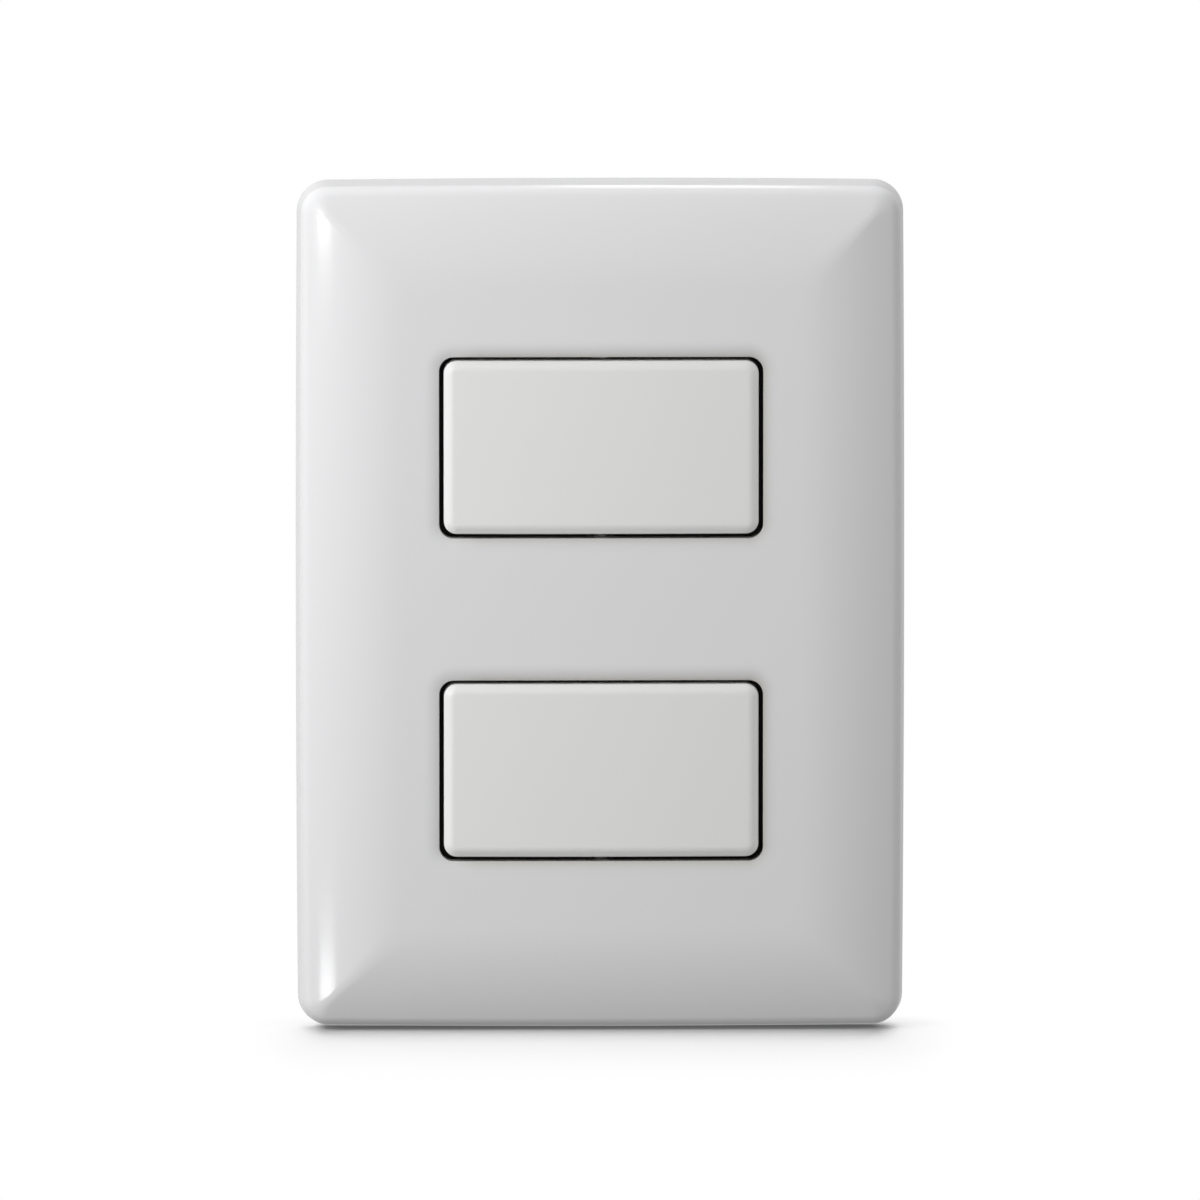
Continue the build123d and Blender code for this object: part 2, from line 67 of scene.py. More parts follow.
def newGroup(name, inputs, outputs):
    group = bpy.data.node_groups.new(name, "ShaderNodeTree")
    for socketName, kind, value in inputs:
        socket = group.interface.new_socket(name=socketName, in_out="INPUT", socket_type=kind)
        socket.default_value = value
    for socketName, kind in outputs:
        group.interface.new_socket(name=socketName, in_out="OUTPUT", socket_type=kind)
    return group, group.nodes.new("NodeGroupInput"), group.nodes.new("NodeGroupOutput")


def addNode(tree, kind, **settings):
    node = tree.nodes.new(kind)
    for key, value in settings.items():
        setattr(node, key, value)
    return node


def noiseNode(tree, coordinates, scale, detail, roughness=0.5):
    noise = addNode(tree, "ShaderNodeTexNoise")
    noise.inputs["Detail"].default_value = detail
    noise.inputs["Roughness"].default_value = roughness
    tree.links.new(scale, noise.inputs["Scale"])
    tree.links.new(coordinates, noise.inputs["Vector"])
    return noise.outputs["Fac"]


def feed(tree, socket, source):
    # a number is set on the socket, anything else is linked to it
    if isinstance(source, (int, float)):
        socket.default_value = source
    else:
        tree.links.new(source, socket)


def mapRange(tree, value, low=0.0, high=1.0, start=0.0, end=1.0, smooth=False):
    kind = "SMOOTHSTEP" if smooth else "LINEAR"
    ranged = addNode(tree, "ShaderNodeMapRange", interpolation_type=kind)
    sources = {"Value": value, "From Min": start, "From Max": end, "To Min": low, "To Max": high}
    for name, source in sources.items():
        feed(tree, ranged.inputs[name], source)
    return ranged.outputs["Result"]


def mathNode(tree, operation, first, second=0.0):
    node = addNode(tree, "ShaderNodeMath", operation=operation)
    feed(tree, node.inputs[0], first)
    feed(tree, node.inputs[1], second)
    return node.outputs[0]


def mixColours(tree, factor, first, second):
    # inputs 6 and 7 and output 2 are the colour sockets of this node
    mix = addNode(tree, "ShaderNodeMix", data_type="RGBA")
    tree.links.new(factor, mix.inputs["Factor"])
    tree.links.new(first, mix.inputs[6])
    tree.links.new(second, mix.inputs[7])
    return mix.outputs[2]


skins = {
    "flowDetail": 2.0, "grainDetail": 3.0, "grainRoughness": 0.6,
    "stainDetail": 4.0, "stainRoughness": 0.65, "stainStart": 0.45, "stainFull": 0.75,
    "lineDetail": 2.0, "lineStretch": (1.0, 0.12, 0.12),
}
skinOutputs = [
    ("Colour", "NodeSocketColor"),
    ("Roughness", "NodeSocketFloat"),
    ("Height", "NodeSocketFloat"),
]


def joinSkin(group, given, result, share, second, relief):
    # colour from the large pattern, gloss and height from the fine one
    colour = mixColours(group, share, given["Colour"], given[second])
    gloss = mapRange(group, relief, given["Low Roughness"], given["High Roughness"])
    group.links.new(colour, result.inputs["Colour"])
    group.links.new(gloss, result.inputs["Roughness"])
    group.links.new(relief, result.inputs["Height"])


def makeMouldedSkin():
    # fine mould grain, faint flow shading and a little unevenness of gloss
    group, entry, result = newGroup(
        "mouldedSkin",
        [
            ("Colour", "NodeSocketColor", (0.8, 0.8, 0.8, 1)),
            ("Flow Colour", "NodeSocketColor", (0.75, 0.75, 0.75, 1)),
            ("Flow Scale", "NodeSocketFloat", 30.0),
            ("Grain Scale", "NodeSocketFloat", 2500.0),
            ("Low Roughness", "NodeSocketFloat", 0.2),
            ("High Roughness", "NodeSocketFloat", 0.3),
        ],
        skinOutputs,
    )
    given = entry.outputs
    place = addNode(group, "ShaderNodeTexCoord").outputs["Object"]
    flow = noiseNode(group, place, given["Flow Scale"], skins["flowDetail"])
    grain = noiseNode(
        group, place, given["Grain Scale"], skins["grainDetail"], skins["grainRoughness"]
    )
    joinSkin(group, given, result, flow, "Flow Colour", grain)
    return group


def makeWorkedMetal():
    # blotchy tarnish over fine tool lines
    group, entry, result = newGroup(
        "workedMetal",
        [
            ("Colour", "NodeSocketColor", (0.7, 0.7, 0.7, 1)),
            ("Tarnish Colour", "NodeSocketColor", (0.4, 0.4, 0.4, 1)),
            ("Tarnish Scale", "NodeSocketFloat", 300.0),
            ("Line Scale", "NodeSocketFloat", 2000.0),
            ("Low Roughness", "NodeSocketFloat", 0.25),
            ("High Roughness", "NodeSocketFloat", 0.45),
        ],
        skinOutputs,
    )
    given = entry.outputs
    place = addNode(group, "ShaderNodeTexCoord").outputs["Object"]
    blotch = noiseNode(
        group, place, given["Tarnish Scale"], skins["stainDetail"], skins["stainRoughness"]
    )
    stain = mapRange(
        group, blotch, start=skins["stainStart"], end=skins["stainFull"], smooth=True
    )
    stretch = addNode(group, "ShaderNodeMapping")
    stretch.inputs["Scale"].default_value = skins["lineStretch"]
    group.links.new(place, stretch.inputs["Vector"])
    lines = noiseNode(
        group, stretch.outputs["Vector"], given["Line Scale"], skins["lineDetail"]
    )
    joinSkin(group, given, result, stain, "Tarnish Colour", lines)
    return group


mouldedSkin = makeMouldedSkin()
workedMetal = makeWorkedMetal()


# Materials

finishes = {
    "whitePlate": {
        "Colour": (0.83, 0.83, 0.84), "Flow Colour": (0.815, 0.815, 0.825), "Flow Scale": 18.0,
        "Grain Scale": 900.0, "Low Roughness": 0.11, "High Roughness": 0.15, "bump": 0.000002,
    },
    "whiteKey": {
        "Colour": (0.87, 0.87, 0.86), "Flow Colour": (0.855, 0.855, 0.845), "Flow Scale": 40.0,
        "Grain Scale": 3500.0, "Low Roughness": 0.3, "High Roughness": 0.4, "bump": 0.000004,
    },
    "greyMoulding": {
        "Colour": (0.62, 0.63, 0.65), "Flow Colour": (0.57, 0.58, 0.6), "Flow Scale": 60.0,
        "Grain Scale": 2400.0, "Low Roughness": 0.42, "High Roughness": 0.6, "bump": 0.000012,
    },
    "darkMoulding": {
        "Colour": (0.058, 0.054, 0.045), "Flow Colour": (0.042, 0.039, 0.034), "Flow Scale": 70.0,
        "Grain Scale": 2600.0, "Low Roughness": 0.4, "High Roughness": 0.58, "bump": 0.000012,
    },
    "nylonMoulding": {
        "Colour": (0.78, 0.76, 0.7), "Flow Colour": (0.72, 0.7, 0.63), "Flow Scale": 200.0,
        "Grain Scale": 3000.0, "Low Roughness": 0.35, "High Roughness": 0.5, "bump": 0.000006,
    },
    "springSteel": {
        "Colour": (0.55, 0.55, 0.56), "Tarnish Colour": (0.4, 0.38, 0.36), "Tarnish Scale": 400.0,
        "Line Scale": 5000.0, "Low Roughness": 0.22, "High Roughness": 0.42, "bump": 0.000004,
    },
    "stampedBrass": {
        "Colour": (0.78, 0.6, 0.3), "Tarnish Colour": (0.56, 0.38, 0.17), "Tarnish Scale": 260.0,
        "Line Scale": 2600.0, "Low Roughness": 0.24, "High Roughness": 0.46, "bump": 0.000006,
    },
    "silverAlloy": {
        "Colour": (0.86, 0.86, 0.84), "Tarnish Colour": (0.66, 0.64, 0.6), "Tarnish Scale": 500.0,
        "Line Scale": 4000.0, "Low Roughness": 0.2, "High Roughness": 0.4, "bump": 0.000004,
    },
    "zincSteel": {
        "Colour": (0.62, 0.625, 0.62), "Tarnish Colour": (0.45, 0.46, 0.47), "Tarnish Scale": 420.0,
        "Line Scale": 3200.0, "Low Roughness": 0.2, "High Roughness": 0.38, "bump": 0.000005,
    },
}
metals = ("springSteel", "stampedBrass", "silverAlloy", "zincSteel")


def makeFinish(name):
    values = finishes[name]
    material = bpy.data.materials.new(name)
    material.use_nodes = True
    tree = material.node_tree
    shader = tree.nodes["Principled BSDF"]
    effect = workedMetal if name in metals else mouldedSkin
    skin = addNode(tree, "ShaderNodeGroup", node_tree=effect)
    for socket, value in values.items():
        if socket != "bump":
            skin.inputs[socket].default_value = (*value, 1) if isinstance(value, tuple) else value
    relief = addNode(tree, "ShaderNodeBump")
    relief.inputs["Distance"].default_value = values["bump"]
    tree.links.new(skin.outputs["Colour"], shader.inputs["Base Color"])
    tree.links.new(skin.outputs["Roughness"], shader.inputs["Roughness"])
    tree.links.new(skin.outputs["Height"], relief.inputs["Height"])
    tree.links.new(relief.outputs["Normal"], shader.inputs["Normal"])
    shader.inputs["Metallic"].default_value = 1.0 if name in metals else 0.0
    return material


materials = {name: makeFinish(name) for name in finishes}

# painted shade: a faint warm darkening of the lips beside the gaps, weakest at the left
gapShade = {
    "halfWidth": 20.55, "halfHeight": 10.65, "corner": 2.0, "reach": 2.5, "falloff": 2.0,
    "colour": (0.56, 0.55, 0.52), "leftShare": 0.25, "leftEnd": 17.0,
}


# paints the shade beside the gaps into the plate's colour
def paintGapShade(material):
    tree = material.node_tree
    shader = tree.nodes["Principled BSDF"]
    place = addNode(tree, "ShaderNodeSeparateXYZ")
    tree.links.new(addNode(tree, "ShaderNodeTexCoord").outputs["Object"], place.inputs[0])
    halfWidth = gapShade["halfWidth"] * millimetre
    halfHeight = gapShade["halfHeight"] * millimetre
    corner = gapShade["corner"] * millimetre
    reach = gapShade["reach"] * millimetre
    aside = mathNode(tree, "ABSOLUTE", place.outputs["X"])
    aside = mathNode(tree, "SUBTRACT", aside, halfWidth)
    upright = mathNode(tree, "ABSOLUTE", place.outputs["Z"])
    upright = mathNode(tree, "SUBTRACT", upright, places["upper"] * millimetre)
    upright = mathNode(tree, "SUBTRACT", mathNode(tree, "ABSOLUTE", upright), halfHeight)
    away = []
    for source in (aside, upright):
        clear = mathNode(tree, "MAXIMUM", source, 0.0)
        away.append(mathNode(tree, "MULTIPLY", clear, clear))
    distance = mathNode(tree, "SQRT", mathNode(tree, "ADD", *away))
    near = mapRange(tree, distance, start=corner + reach, end=corner)
    share = mathNode(tree, "POWER", near, gapShade["falloff"])
    leftEnd = -gapShade["leftEnd"] * millimetre
    fade = mapRange(
        tree, place.outputs["X"], low=gapShade["leftShare"], start=-halfWidth - corner, end=leftEnd
    )
    share = mathNode(tree, "MULTIPLY", share, fade)
    # the colour of the painted shade, mixed in towards the gaps
    shadeTint = addNode(tree, "ShaderNodeRGB")
    shadeTint.outputs[0].default_value = (*gapShade["colour"], 1)
    plain = shader.inputs["Base Color"].links[0].from_socket
    tree.links.new(mixColours(tree, share, plain, shadeTint.outputs[0]), shader.inputs["Base Color"])


paintGapShade(materials["whitePlate"])
slotFinish = {
    "white_plate": "whitePlate", "white_key": "whiteKey", "grey_moulding": "greyMoulding",
    "dark_moulding": "darkMoulding", "nylon": "nylonMoulding", "spring_steel": "springSteel",
    "brass": "stampedBrass", "silver_alloy": "silverAlloy", "zinc_steel": "zincSteel",
}
nodeSlot = {part["node"]: part["material_slot"] for part in frame["record"]["subparts"]}
for nodeName, node in frame["nodes"].items():
    node.data.materials.clear()
    node.data.materials.append(materials[slotFinish[nodeSlot[nodeName]]])
print("materials made:", len(materials))


# Mesh helpers

# loops less than levelLimit apart share a plane
# midRound is where the middle of a small round lies, as a share of its radius
meshing = {
    "levelLimit": 0.001, "bridgeLift": 0.05, "mergeDistance": 0.0005, "sharpAngle": 35.0,
    "midRound": 0.3, "cornerSteps": 10,
}


def roundedLoop(bm, width, height, corner, forward, middle=0.0):
    before = set(bm.verts)
    corners = bmesh.ops.create_grid(bm, x_segments=1, y_segments=1, size=0.5)["verts"]
    bmesh.ops.scale(bm, vec=(width, height, 1), verts=corners)
    bmesh.ops.rotate(bm, matrix=Matrix.Rotation(math.pi / 2, 3, "X"), verts=corners)
    bmesh.ops.translate(bm, vec=(0, -forward, middle), verts=corners)
    bmesh.ops.bevel(
        bm, geom=corners, offset=corner, segments=meshing["cornerSteps"], profile=0.5,
        affect="VERTICES", material=-1, clamp_overlap=False,
    )
    made = [vert for vert in bm.verts if vert not in before]
    faces = {face for vert in made for face in vert.link_faces}
    bmesh.ops.delete(bm, geom=list(faces), context="FACES_ONLY")
    return list({edge for vert in made for edge in vert.link_edges})


def bridgeStations(bm, loops):
    # loops in one plane are held apart while they are joined, so that both run the same way round
    lift = meshing["bridgeLift"]
    for near, far in zip(loops, loops[1:]):
        apart = abs(near[0].verts[0].co.y - far[0].verts[0].co.y)
        lifted = []
        if apart < meshing["levelLimit"]:
            lifted = list({vert for edge in far for vert in edge.verts})
        bmesh.ops.translate(bm, vec=(0, lift, 0), verts=lifted)
        bmesh.ops.bridge_loops(bm, edges=near + far)
        bmesh.ops.translate(bm, vec=(0, -lift, 0), verts=lifted)


def prism(bm, outline, alongX, start, end):
    # outline points are (across, forward); the prism runs along X or Z
    if alongX:
        ring = [bm.verts.new((start, -forward, across)) for across, forward in outline]
    else:
        ring = [bm.verts.new((across, -forward, start)) for across, forward in outline]
    face = bmesh.ops.contextual_create(bm, geom=ring)["faces"][0]
    grown = bmesh.ops.extrude_face_region(bm, geom=[face])["geom"]
    far = [item for item in grown if isinstance(item, bmesh.types.BMVert)]
    step = (end - start, 0, 0) if alongX else (0, 0, end - start)
    bmesh.ops.translate(bm, vec=step, verts=far)


def finishPiece(name, bm, body, slotName, nodeNames):
    bmesh.ops.remove_doubles(bm, verts=bm.verts, dist=meshing["mergeDistance"])
    bmesh.ops.recalc_face_normals(bm, faces=bm.faces)
    limit = math.radians(meshing["sharpAngle"])
    for edge in bm.edges:
        edge.smooth = edge.is_manifold and edge.calc_face_angle() < limit
    for face in bm.faces:
        face.smooth = True
    bmesh.ops.scale(bm, vec=(millimetre,) * 3, verts=bm.verts)
    mesh = bpy.data.meshes.new(name)
    bm.to_mesh(mesh)
    bm.free()
    piece = bpy.data.objects.new(name, mesh)
    bpy.context.scene.collection.objects.link(piece)
    mesh.materials.append(materials[slotFinish[slotName]])
    shading = piece.modifiers.new("evenShading", "WEIGHTED_NORMAL")
    shading.keep_sharp = True
    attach(piece, body)
    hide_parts(*nodeNames)
    return piece


# Face plate

plate = {
    "width": 85.0, "height": 119.0, "depth": 10.0, "wall": 2.0, "corner": 4.3, "draft": 6.0,
    "shoulder": 14.5, "shoulderRadius": 28.0, "edgeRound": 2.6, "innerRound": 0.6,
    "rimRound": 0.2, "creaseRound": 0.7, "creaseGrowth": 0.15, "creaseBlend": 0.5, "bow": 0.25,
    "openingWidth": 45.1, "openingHeight": 25.3, "openingCorner": 2.0,
    "lipWidth": 2.0, "lipSlope": 19.0, "lipEdge": 0.15,
    "collarWall": 1.3, "collarRear": 6.9, "flatBand": 0.3,
    "ribReach": 7.0, "ribRear": 2.4, "ribWall": 1.2, "ribPlaces": (0.25, 0.75), "endRibPlace": 0.42,
    "hookInner": 31.15, "hookThickness": 1.5, "hookGrip": 1.0, "hookFlat": 0.4, "barbFront": 2.05,
    "hookPlace": 30.0, "hookWidth": 8.0,
    "edgeSteps": 10, "shoulderSteps": 16, "lipSteps": 8, "lipEdgeSteps": 4, "bowCuts": 9,
}


def shoulderSection(depth, shoulder, radius, edge):
    # (inset, forward) from the rim up the drafted wall, round the edge and over the shoulder
    draft = math.radians(plate["draft"])
    slope = math.tan(draft)
    lean = math.hypot(1, slope)
    centre = depth - radius
    reach = edge * lean - shoulder
    half = slope * reach - centre
    rest = reach**2 + centre**2 - (radius - edge) ** 2
    edgeForward = (math.sqrt(half**2 - lean**2 * rest) - half) / lean**2
    edgeInset = slope * edgeForward + edge * lean
    turn = math.atan2(edgeForward - centre, shoulder - edgeInset)
    section = []
    for step in range(plate["edgeSteps"] + 1):
        angle = draft + (turn - draft) * step / plate["edgeSteps"]
        section.append((edgeInset - edge * math.cos(angle), edgeForward + edge * math.sin(angle)))
    for step in range(1, plate["shoulderSteps"] + 1):
        angle = turn + (math.pi / 2 - turn) * step / plate["shoulderSteps"]
        section.append((shoulder - radius * math.cos(angle), centre + radius * math.sin(angle)))
    return section


def cornerAt(inset, corner):
    # the corner shrinks with the inset, then turns into the softly rounded mitre crease
    plain = corner - inset
    crease = plate["creaseRound"] + plate["creaseGrowth"] * max(inset - corner, 0)
    return (plain + crease + math.hypot(plain - crease, plate["creaseBlend"])) / 2


def skinLoops(bm, section, margin, cornerRound):
    loops = []
    for inset, forward in section:
        width = plate["width"] - 2 * (margin + inset)
        height = plate["height"] - 2 * (margin + inset)
        loops.append(roundedLoop(bm, width, height, cornerAt(inset, cornerRound), forward))
    return loops


def openingLoops(bm, stations, middle):
    loops = []
    for outward, forward in stations:
        width = plate["openingWidth"] + 2 * outward
        height = plate["openingHeight"] + 2 * outward
        corner = plate["openingCorner"] + outward
        loops.append(roundedLoop(bm, width, height, corner, forward, middle))
    return loops


def bowOutline(bm):
    # the outline swells very slightly between the corners
    for step in range(1, plate["bowCuts"] + 1):
        share = step / (plate["bowCuts"] + 1) - 0.5
        for size, direction in (("width", Vector((1, 0, 0))), ("height", Vector((0, 0, 1)))):
            cut = direction * share * (plate[size] - 2 * plate["corner"])
            whole = bm.verts[:] + bm.edges[:] + bm.faces[:]
            bmesh.ops.bisect_plane(bm, geom=whole, plane_co=cut, plane_no=direction)
    sideShare = plate["bow"] / (plate["width"] / 2)
    endShare = plate["bow"] / (plate["height"] / 2)
    for vert in bm.verts:
        along = 2 * vert.co.z / plate["height"]
        across = 2 * vert.co.x / plate["width"]
        vert.co.x *= 1 - sideShare * along**2
        vert.co.z *= 1 - endShare * across**2


def addHooks(bm):
    inner = plate["hookInner"]
    outer = inner + plate["hookThickness"]
    tip = inner - plate["hookGrip"]
    barb = plate["barbFront"]
    point = barb - plate["hookFlat"]
    root = plate["depth"] - plate["wall"] / 2
    outline = [
        (inner, root), (inner, barb), (tip, barb), (tip, point),
        (inner, point - plate["hookGrip"]), (outer, point - plate["hookGrip"]), (outer, root),
    ]
    for side in (1, -1):
        for end in (1, -1):
            start = end * plate["hookPlace"] - plate["hookWidth"] / 2
            prism(bm, [(side * x, f) for x, f in outline], False, start, start + plate["hookWidth"])


def addRibs(bm):
    half = plate["wall"] / 2
    section = shoulderSection(
        plate["depth"] - half, plate["shoulder"] - half,
        plate["shoulderRadius"] - half, plate["edgeRound"] - half,
    )
    slope = math.tan(math.radians(plate["draft"]))
    reach = plate["ribReach"]
    rear = plate["ribRear"]
    outline = [(reach, rear), (half + slope * rear, rear)]
    outline += [(half + inset, forward) for inset, forward in section if half + inset < reach]
    outline.append((reach, outline[-1][1]))
    side = plate["width"] / 2
    end = plate["height"] / 2
    thick = plate["ribWall"] / 2
    for turn in (1, -1):
        sideRib = [(turn * (side - inset), forward) for inset, forward in outline]
        endRib = [(turn * (end - inset), forward) for inset, forward in outline]
        for flip in (1, -1):
            for share in plate["ribPlaces"]:
                prism(bm, sideRib, False, flip * share * end - thick, flip * share * end + thick)
            place = flip * plate["endRibPlace"] * side
            prism(bm, endRib, True, place - thick, place + thick)


def lipStations():
    # (outward, forward) from the flat face, over the lip's roll and down the collar to its root
    depth = plate["depth"]
    lip = plate["lipWidth"]
    slopeEnd = math.radians(plate["lipSlope"])
    edge = plate["lipEdge"]
    edgeReach = edge * (1 - math.sin(slopeEnd))
    roll = (lip - edgeReach) / math.sin(slopeEnd)
    stations = [(lip + plate["flatBand"], depth)]
    for step in range(plate["lipSteps"] + 1):
        angle = slopeEnd * step / plate["lipSteps"]
        stations.append((lip - roll * math.sin(angle), depth - roll * (1 - math.cos(angle))))
    brink = stations[-1][1] - edge * math.cos(slopeEnd)
    for step in range(1, plate["lipEdgeSteps"] + 1):
        angle = slopeEnd + (math.pi / 2 - slopeEnd) * step / plate["lipEdgeSteps"]
        stations.append((edge * (1 - math.sin(angle)), brink + edge * math.cos(angle)))
    rim = plate["rimRound"]
    rear = plate["collarRear"]
    collar = plate["collarWall"]
    stations += [(0, rear + rim), (rim, rear), (collar - rim, rear), (collar, rear + rim)]
    return stations + [(collar, depth - plate["wall"])]


def makePlate():
    bm = bmesh.new()
    wall = plate["wall"]
    depth = plate["depth"]
    shoulder = plate["shoulder"]
    radius = plate["shoulderRadius"]
    rim = plate["rimRound"]
    mid = rim * meshing["midRound"]
    slope = math.tan(math.radians(plate["draft"]))
    outer = [(rim, 0), (mid, mid), (slope * rim, rim)]
    outer += shoulderSection(depth, shoulder, radius, plate["edgeRound"])
    outer.append((shoulder + plate["flatBand"], depth))
    inner = [(0, 0)]
    inner += shoulderSection(depth - wall, shoulder - wall, radius - wall, plate["innerRound"])
    outerLoops = skinLoops(bm, outer, 0, plate["corner"])
    innerLoops = skinLoops(bm, inner, wall, plate["corner"] - wall)
    bridgeStations(bm, outerLoops)
    bridgeStations(bm, [outerLoops[0]] + innerLoops)
    bowOutline(bm)
    for middle in places.values():
        bridgeStations(bm, openingLoops(bm, lipStations(), middle))
    for level in (depth, depth - wall):
        border = []
        for edge in bm.edges:
            if edge.is_boundary and abs(edge.verts[0].co.y + level) < meshing["levelLimit"]:
                border.append(edge)
        bmesh.ops.triangle_fill(bm, edges=border, use_beauty=True, normal=(0, -1, 0))
    addHooks(bm)
    addRibs(bm)
    return finishPiece("plateShell", bm, "wall_unit", "white_plate", ["face_plate"])


plateShell = makePlate()
print("plate:", len(plateShell.data.polygons), "faces")


# Rockers

rocker = {
    "width": 43.8, "height": 24.2, "corner": 1.8, "front": 10.85, "skirtRear": 6.2,
    "bevelWidth": 0.45, "bevelSlope": 32.0, "faceRound": 1.6, "edgeRound": 0.4, "rimRound": 0.2,
    "leastCorner": 0.6, "crown": 0.45, "crownStart": 8.6, "crownCuts": 22,
    "wall": 1.6, "ceiling": 8.1, "hollowCorner": 0.6, "hollowRound": 0.5,
    "axis": 4.8, "trunnionRadius": 1.1, "trunnionEnd": 14.2, "trunnionRound": 0.25,
    "earWidth": 6.0, "earRear": 3.6, "earFront": 7.2,
    "postRadius": 3.2, "boreRadius": 2.1, "postRear": -4.0, "postRound": 0.3,
    "spineWall": 1.4, "spineRear": 4.2, "crossWall": 1.2, "crossRear": 6.6, "overlap": 0.3,
    "endPlay": 0.08,  # each rocker sits a little above the middle of its opening
    "rimSteps": 3, "edgeSteps": 5, "faceSteps": 7, "coveSteps": 4,
    "trunnionSteps": 36, "trunnionRoundSteps": 3, "postSteps": 40,
}


def keyLoops(bm, stations, margin, corner):
    loops = []
    for inset, forward in stations:
        width = rocker["width"] - 2 * (margin + inset)
        height = rocker["height"] - 2 * (margin + inset)
        turn = max(corner - inset, rocker["leastCorner"])
        loops.append(roundedLoop(bm, width, height, turn, forward))
    return loops


def arcStations(reach, forward, radius, start, end, steps):
    # a quarter turn or less: reach and forward are where the arc's own centre stands
    stations = []
    for step in range(steps + 1):
        turn = start + (end - start) * step / steps
        stations.append((reach - radius * math.cos(turn), forward + radius * math.sin(turn)))
    return stations


def keyStations():
    # (inset, forward) from the skirt's rear rim, up the side, over the bevel to the face
    slope = math.radians(rocker["bevelSlope"])
    tilt = math.pi / 2 - slope
    edge = rocker["edgeRound"]
    face = rocker["faceRound"]
    edgeEnd = edge * (1 - math.sin(slope))
    bevelEnd = edgeEnd + rocker["bevelWidth"]
    faceCentre = bevelEnd + face * math.sin(slope)
    faceDrop = face * (1 - math.cos(slope))
    bevelDrop = rocker["bevelWidth"] * math.tan(slope)
    edgeFront = rocker["front"] - faceDrop - bevelDrop
    edgeCentre = edgeFront - edge * math.cos(slope)
    rim = rocker["rimRound"]
    quarter = math.pi / 2
    rear = rocker["skirtRear"] + rim
    stations = arcStations(rim, rear, rim, -quarter, 0, rocker["rimSteps"])
    stations += arcStations(edge, edgeCentre, edge, 0, tilt, rocker["edgeSteps"])
    front = rocker["front"] - face
    return stations + arcStations(faceCentre, front, face, tilt, quarter, rocker["faceSteps"])


def crownFace(bm):
    # the face and bevels fall away to the left and right of the middle
    half = rocker["width"] / 2
    for step in range(1, rocker["crownCuts"]):
        cut = Vector((half * (2 * step / rocker["crownCuts"] - 1), 0, 0))
        whole = bm.verts[:] + bm.edges[:] + bm.faces[:]
        bmesh.ops.bisect_plane(bm, geom=whole, plane_co=cut, plane_no=(1, 0, 0))
    for vert in bm.verts:
        if -vert.co.y > rocker["crownStart"]:
            vert.co.y += rocker["crown"] * (vert.co.x / half) ** 2


def lathe(bm, profile, steps):
    # profile points are (radius, forward), turned round the axis that runs out of the wall
    ring = [bm.verts.new((radius, -forward, 0)) for radius, forward in profile]
    edges = [bm.edges.new(pair) for pair in zip(ring, ring[1:])]
    bmesh.ops.spin(
        bm, geom=ring + edges, cent=(0, 0, 0), axis=(0, 1, 0), angle=2 * math.pi,
        steps=steps, use_merge=True,
    )


def box(bm, xs, forwards, zs):
    left, right = xs
    rear, front = forwards
    outline = [(left, rear), (right, rear), (right, front), (left, front)]
    prism(bm, outline, False, *zs)


def addTrunnions(bm):
    inner = rocker["height"] / 2 - rocker["wall"]
    half = rocker["earWidth"] / 2
    radius = rocker["trunnionRadius"]
    length = rocker["trunnionEnd"] - inner - rocker["overlap"]
    for end in (1, -1):
        zs = sorted((end * inner, end * rocker["height"] / 2))
        box(bm, (-half, half), (rocker["earRear"], rocker["earFront"]), zs)
        spindle = bmesh.ops.create_cone(
            bm, cap_ends=True, segments=rocker["trunnionSteps"],
            radius1=radius, radius2=radius, depth=length,
        )["verts"]
        edges = {edge for vert in spindle for edge in vert.link_edges}
        tip = [edge for edge in edges if all(vert.co.z * end > 0 for vert in edge.verts)]
        place = (0, -rocker["axis"], end * (rocker["trunnionEnd"] - length / 2))
        bmesh.ops.translate(bm, vec=place, verts=spindle)
        bmesh.ops.bevel(
            bm, geom=tip, offset=rocker["trunnionRound"], segments=rocker["trunnionRoundSteps"],
            profile=0.5, affect="EDGES", material=-1,
        )


def addPost(bm):
    # the hollow post that holds the spring and the plunger
    ceiling = rocker["ceiling"]
    top = ceiling + rocker["overlap"]
    bore = rocker["boreRadius"]
    post = rocker["postRadius"]
    soft = rocker["postRound"]
    rear = rocker["postRear"]
    profile = [
        (0, ceiling), (bore, ceiling), (bore, rear + soft), (bore + soft, rear),
        (post - soft, rear), (post, rear + soft), (post, top), (0, top),
    ]
    lathe(bm, profile, rocker["postSteps"])


def makeRocker(place):
    bm = bmesh.new()
    outer = keyLoops(bm, keyStations(), 0, rocker["corner"])
    rim = rocker["rimRound"]
    cove = rocker["hollowRound"]
    quarter = math.pi / 2
    rear = rocker["skirtRear"] + rim
    ceiling = rocker["ceiling"]
    inside = arcStations(-rim, rear, -rim, quarter, 0, rocker["rimSteps"])
    inside += arcStations(cove, ceiling - cove, cove, 0, quarter, rocker["coveSteps"])
    inner = keyLoops(bm, inside, rocker["wall"], rocker["hollowCorner"])
    bridgeStations(bm, outer)
    bridgeStations(bm, [outer[0]] + inner)
    bmesh.ops.contextual_create(bm, geom=outer[-1])
    bmesh.ops.contextual_create(bm, geom=inner[-1])
    crownFace(bm)
    addTrunnions(bm)
    side = rocker["height"] / 2 - rocker["wall"] + rocker["overlap"]
    end = rocker["width"] / 2 - rocker["wall"] + rocker["overlap"]
    top = ceiling + rocker["overlap"]
    spine = rocker["spineWall"] / 2
    cross = rocker["crossWall"] / 2
    box(bm, (-spine, spine), (rocker["spineRear"], top), (-side, side))
    box(bm, (-end, end), (rocker["crossRear"], top), (-cross, cross))
    addPost(bm)
    bmesh.ops.translate(bm, vec=(0, 0, places[place] + rocker["endPlay"]), verts=bm.verts)
    return finishPiece(place + "Rocker", bm, place + "_key", "white_key", [place + "_rocker"])


